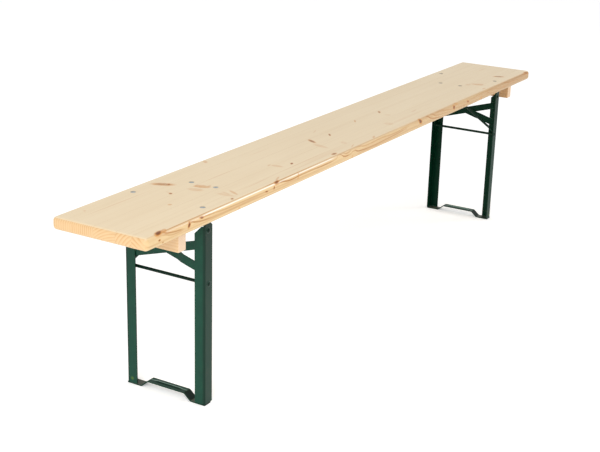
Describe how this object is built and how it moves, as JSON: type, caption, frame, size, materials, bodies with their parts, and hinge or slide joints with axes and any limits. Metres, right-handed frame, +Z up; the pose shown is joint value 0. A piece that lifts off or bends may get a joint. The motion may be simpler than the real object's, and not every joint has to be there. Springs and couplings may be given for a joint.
{
  "type": "folding trestle bench",
  "caption": "Long backless bench with a glued softwood seat and two green steel leg frames that fold flat under it, each braced by a strut that locks in a spring catch.",
  "frame": {"origin": "on the floor, below the middle of the seat", "axes": "+X along the bench towards its far end, +Y across it to the left, +Z up"},
  "size_m": [2.2, 0.262, 0.49],
  "materials": {
    "pale_softwood": "clear satin varnish on spruce",
    "green_paint": "dark green gloss paint",
    "zinc_steel": "zinc plated",
    "spring_steel": "blank spring steel"
  },
  "bodies": {
    "seat": {"far_batten": "pale_softwood", "far_catch_plate": "green_paint", "far_latch_pin": "zinc_steel", "far_left_batten_screw": "zinc_steel", "far_left_catch_bolt": "zinc_steel", "far_left_catch_nut": "zinc_steel", "far_left_hinge_bolt": "zinc_steel", "far_left_hinge_bracket": "green_paint", "far_left_hinge_nut": "zinc_steel", "far_right_batten_screw": "zinc_steel", "far_right_catch_bolt": "zinc_steel", "far_right_catch_nut": "zinc_steel", "far_right_hinge_bolt": "zinc_steel", "far_right_hinge_bracket": "green_paint", "far_right_hinge_nut": "zinc_steel", "near_batten": "pale_softwood", "near_catch_plate": "green_paint", "near_latch_pin": "zinc_steel", "near_left_batten_screw": "zinc_steel", "near_left_catch_bolt": "zinc_steel", "near_left_catch_nut": "zinc_steel", "near_left_hinge_bolt": "zinc_steel", "near_left_hinge_bracket": "green_paint", "near_left_hinge_nut": "zinc_steel", "near_right_batten_screw": "zinc_steel", "near_right_catch_bolt": "zinc_steel", "near_right_catch_nut": "zinc_steel", "near_right_hinge_bolt": "zinc_steel", "near_right_hinge_bracket": "green_paint", "near_right_hinge_nut": "zinc_steel", "seat_stave_1": "pale_softwood", "seat_stave_2": "pale_softwood", "seat_stave_3": "pale_softwood", "seat_stave_4": "pale_softwood", "seat_stave_5": "pale_softwood"},
    "leg_near": {"near_cross_rod": "green_paint", "near_foot_strip": "green_paint", "near_inner_brace": "green_paint", "near_left_pivot_rivet": "green_paint", "near_left_upright": "green_paint", "near_outer_brace": "green_paint", "near_right_pivot_rivet": "green_paint", "near_right_upright": "green_paint"},
    "leg_far": {"far_cross_rod": "green_paint", "far_foot_strip": "green_paint", "far_inner_brace": "green_paint", "far_left_pivot_rivet": "green_paint", "far_left_upright": "green_paint", "far_outer_brace": "green_paint", "far_right_pivot_rivet": "green_paint", "far_right_upright": "green_paint"},
    "strut_near": {"near_strut": "green_paint"},
    "strut_far": {"far_strut": "green_paint"},
    "latch_near": {"near_latch_lever": "spring_steel", "near_latch_spring": "spring_steel"},
    "latch_far": {"far_latch_lever": "spring_steel", "far_latch_spring": "spring_steel"}
  },
  "joints": [
    {"name": "near_leg_fold", "type": "hinge", "parent": "seat", "child": "leg_near", "pos_m": [-0.8535, 0, 0.438], "axis": [0, -1, 0], "range_deg": [0, 90]},
    {"name": "near_strut_turn", "type": "hinge", "parent": "leg_near", "child": "strut_near", "pos_m": [-0.8511, 0, 0.3063], "axis": [0, 1, 0], "range_deg": [0, 136.08]},
    {"name": "near_latch_lift", "type": "hinge", "parent": "seat", "child": "latch_near", "pos_m": [-0.7438, 0, 0.4488], "axis": [0, -1, 0], "range_deg": [0, 8], "stiffness_Nm_per_rad": 1.5, "springref_deg": -5.73},
    {"name": "far_leg_fold", "type": "hinge", "parent": "seat", "child": "leg_far", "pos_m": [0.8535, 0, 0.438], "axis": [0, 1, 0], "range_deg": [0, 90]},
    {"name": "far_strut_turn", "type": "hinge", "parent": "leg_far", "child": "strut_far", "pos_m": [0.8511, 0, 0.3063], "axis": [0, -1, 0], "range_deg": [0, 136.08]},
    {"name": "far_latch_lift", "type": "hinge", "parent": "seat", "child": "latch_far", "pos_m": [0.7438, 0, 0.4488], "axis": [0, 1, 0], "range_deg": [0, 8], "stiffness_Nm_per_rad": 1.5, "springref_deg": -5.73}
  ],
  "couplings": [
    {"joint": "near_strut_turn", "follows": "near_leg_fold", "ratio": 1.5118},
    {"joint": "far_strut_turn", "follows": "far_leg_fold", "ratio": 1.5118}
  ]
}
